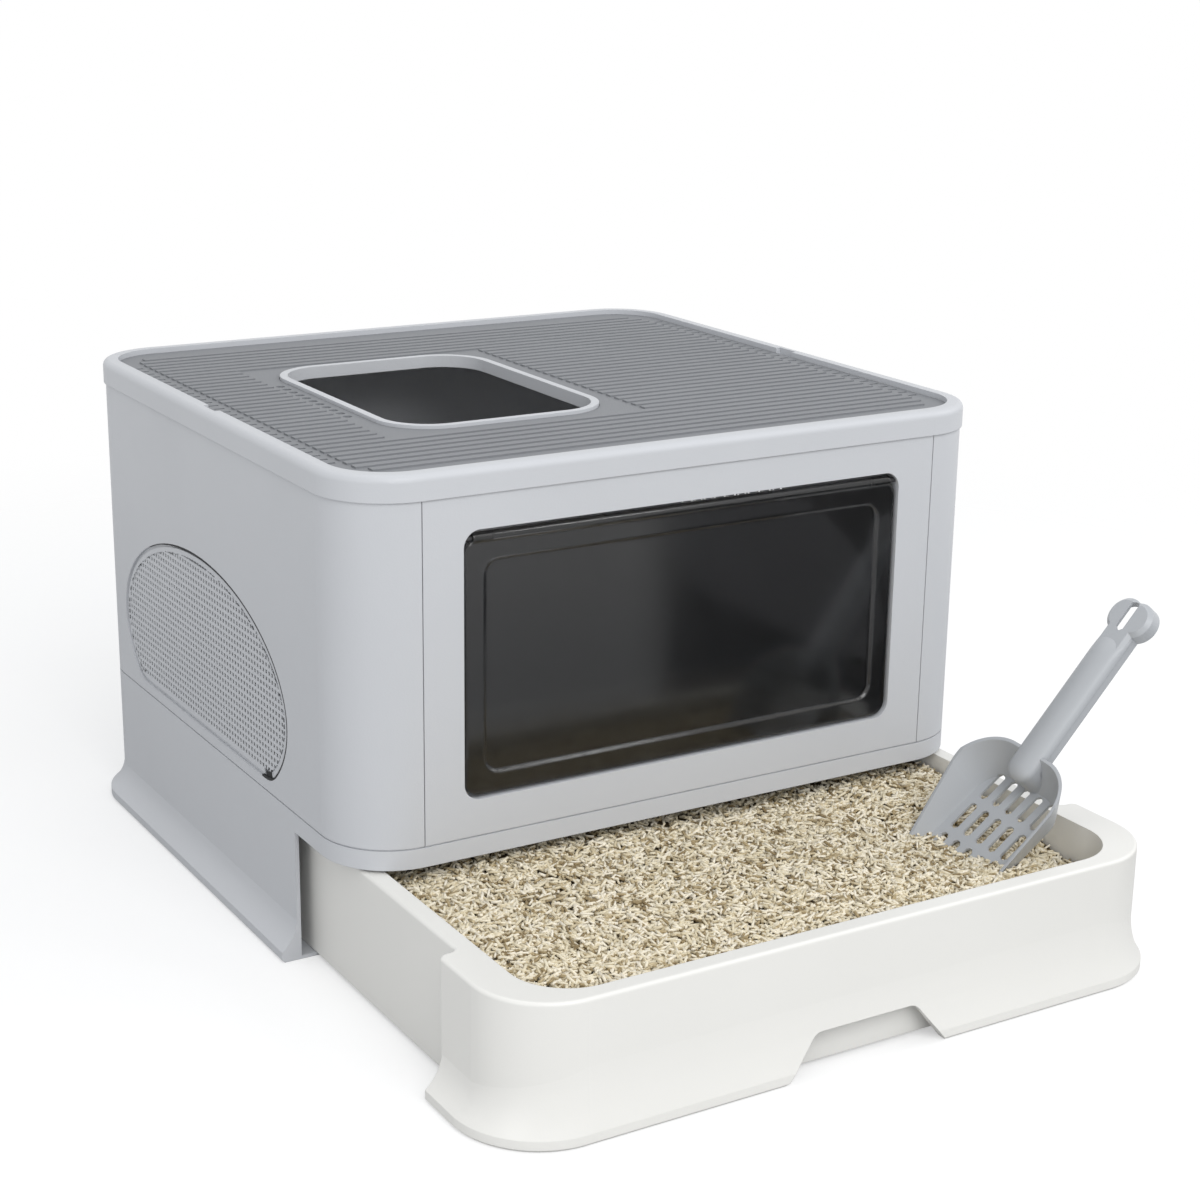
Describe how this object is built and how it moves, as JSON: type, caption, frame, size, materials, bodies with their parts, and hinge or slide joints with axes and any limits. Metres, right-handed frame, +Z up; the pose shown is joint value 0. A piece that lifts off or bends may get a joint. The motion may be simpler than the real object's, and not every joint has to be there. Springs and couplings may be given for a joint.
{
  "type": "covered litter box",
  "caption": "Covered litter box with a lift-off ribbed lid, top exit, swinging smoked flap, side vents and a pull-out tray of litter with a standing scoop.",
  "frame": {"origin": "on the floor, under the centre of the walled body, on the underside of the base's floor plate", "axes": "+X to the right seen from the front, -Y out of the front where the tray pulls out, +Z up"},
  "size_m": [0.5716, 0.7301, 0.368],
  "materials": {
    "body_plastic": "fine satin, light cool grey",
    "mat_plastic": "matt, mid grey",
    "smoked_plastic": "smoked gloss, near black",
    "tray_plastic": "satin, warm white",
    "litter_grain": "loose grains, beige with darker grains",
    "scoop_plastic": "satin, mid-light grey"
  },
  "bodies": {
    "base": {"base_frame": "body_plastic", "left_side_panel": "body_plastic", "right_side_panel": "body_plastic", "front_panel": "body_plastic", "back_panel": "body_plastic", "left_vent_grille": "body_plastic", "right_vent_grille": "body_plastic", "left_flap_pin": "smoked_plastic", "right_flap_pin": "smoked_plastic"},
    "tray": {"tray": "tray_plastic", "litter": "litter_grain"},
    "scoop": {"scoop": "scoop_plastic"},
    "flap": {"door_flap": "smoked_plastic"},
    "lid": {"lid_frame": "body_plastic"},
    "mat": {"lid_mat": "mat_plastic"}
  },
  "joints": [
    {"name": "drawer_slide", "type": "slide", "parent": "base", "child": "tray", "axis": [0, 1, 0], "range_m": [0, 0.216]},
    {"name": "scoop_lift", "type": "slide", "parent": "base", "child": "scoop", "axis": [0, 0, 1], "range_m": [0, 0.432]},
    {"name": "flap_swing", "type": "hinge", "parent": "base", "child": "flap", "pos_m": [0, -0.2435, 0.3195], "axis": [1, 0, 0], "range_deg": [-80, 80]},
    {"name": "lid_lift", "type": "slide", "parent": "base", "child": "lid", "axis": [0, 0, 1], "range_m": [0, 0.15]},
    {"name": "mat_lift", "type": "slide", "parent": "lid", "child": "mat", "axis": [0, 0, 1], "range_m": [0, 0.06]}
  ],
  "couplings": [
    {"joint": "scoop_lift", "follows": "drawer_slide", "ratio": 2}
  ]
}
